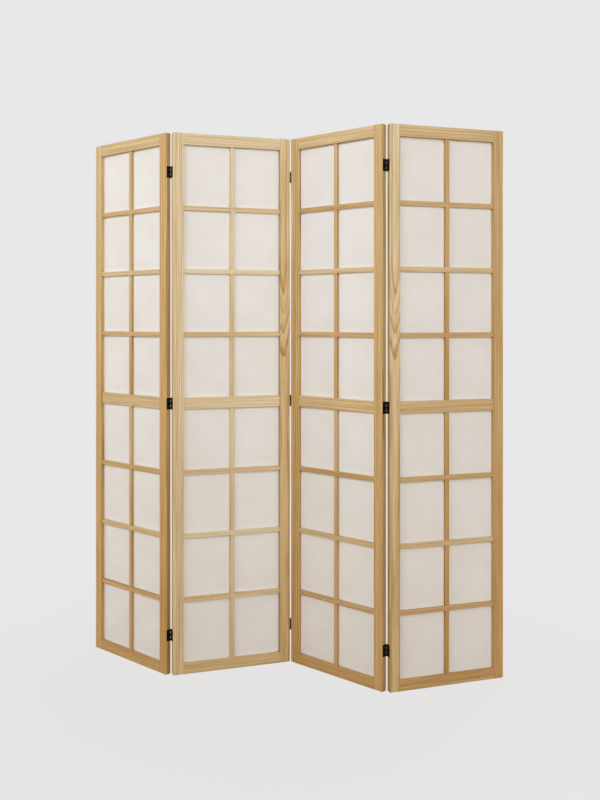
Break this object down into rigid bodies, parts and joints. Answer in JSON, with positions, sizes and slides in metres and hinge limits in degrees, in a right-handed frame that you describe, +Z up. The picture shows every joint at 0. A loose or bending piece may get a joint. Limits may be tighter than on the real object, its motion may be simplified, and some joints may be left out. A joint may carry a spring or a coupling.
{
  "type": "folding room divider screen",
  "caption": "Free-standing folding screen: hinged pine panels in a zigzag, each a frame with a window-pane lattice backed by white paper.",
  "frame": {"origin": "bottom centre of the bounding box, on the floor, under the middle of the zigzag as it stands", "axes": "+Z up; +X along the screen's overall line, to the right of someone facing the lattice side; +Y towards the papered back"},
  "size_m": [1.421, 0.2312, 1.78],
  "materials": {
    "stile_wood": "clear satin lacquer on pale straight-grained pine",
    "rail_wood": "clear satin lacquer on pale pine, grain along the rail",
    "bar_wood": "clear satin lacquer on thin pine strips",
    "dowel_wood": "plain beech",
    "paper": "matt off-white fibre paper that lets light through",
    "hinge_metal": "dark bronze finish, satin",
    "pin_metal": "dark bronze finish, satin",
    "screw_metal": "dark bronze finish, rubbed brighter on the heads"
  },
  "bodies": {
    "panel_1": {"panel_1_left_stile": "stile_wood", "panel_1_right_stile": "stile_wood", "panel_1_top_rail": "rail_wood", "panel_1_middle_rail": "rail_wood", "panel_1_bottom_rail": "rail_wood", "panel_1_upright_bars": "bar_wood", "panel_1_cross_bars": "bar_wood", "panel_1_upper_paper": "paper", "panel_1_lower_paper": "paper", "panel_1_paper_beads": "bar_wood", "panel_1_dowels": "dowel_wood", "hinge_1_left_leaves": "hinge_metal", "hinge_1_pins": "pin_metal", "hinge_1_left_screws": "screw_metal"},
    "panel_2": {"panel_2_left_stile": "stile_wood", "panel_2_right_stile": "stile_wood", "panel_2_top_rail": "rail_wood", "panel_2_middle_rail": "rail_wood", "panel_2_bottom_rail": "rail_wood", "panel_2_upright_bars": "bar_wood", "panel_2_cross_bars": "bar_wood", "panel_2_upper_paper": "paper", "panel_2_lower_paper": "paper", "panel_2_paper_beads": "bar_wood", "panel_2_dowels": "dowel_wood", "hinge_2_left_leaves": "hinge_metal", "hinge_2_pins": "pin_metal", "hinge_2_left_screws": "screw_metal", "hinge_1_right_leaves": "hinge_metal", "hinge_1_right_screws": "screw_metal"},
    "panel_3": {"panel_3_left_stile": "stile_wood", "panel_3_right_stile": "stile_wood", "panel_3_top_rail": "rail_wood", "panel_3_middle_rail": "rail_wood", "panel_3_bottom_rail": "rail_wood", "panel_3_upright_bars": "bar_wood", "panel_3_cross_bars": "bar_wood", "panel_3_upper_paper": "paper", "panel_3_lower_paper": "paper", "panel_3_paper_beads": "bar_wood", "panel_3_dowels": "dowel_wood", "hinge_3_left_leaves": "hinge_metal", "hinge_3_pins": "pin_metal", "hinge_3_left_screws": "screw_metal", "hinge_2_right_leaves": "hinge_metal", "hinge_2_right_screws": "screw_metal"},
    "panel_4": {"panel_4_left_stile": "stile_wood", "panel_4_right_stile": "stile_wood", "panel_4_top_rail": "rail_wood", "panel_4_middle_rail": "rail_wood", "panel_4_bottom_rail": "rail_wood", "panel_4_upright_bars": "bar_wood", "panel_4_cross_bars": "bar_wood", "panel_4_upper_paper": "paper", "panel_4_lower_paper": "paper", "panel_4_paper_beads": "bar_wood", "panel_4_dowels": "dowel_wood", "hinge_3_right_leaves": "hinge_metal", "hinge_3_right_screws": "screw_metal"}
  },
  "joints": [
    {"name": "fold_1", "type": "hinge", "parent": "panel_2", "child": "panel_1", "pos_m": [-0.35655, -0.10125, 0.89], "axis": [0, 0, -1], "range_deg": [-64.5, 115.5]},
    {"name": "fold_2", "type": "hinge", "parent": "panel_2", "child": "panel_3", "pos_m": [0, 0.10125, 0.89], "axis": [0, 0, -1], "range_deg": [-64.5, 115.5]},
    {"name": "fold_3", "type": "hinge", "parent": "panel_3", "child": "panel_4", "pos_m": [0.35655, -0.10125, 0.89], "axis": [0, 0, 1], "range_deg": [-64.5, 115.5]}
  ]
}
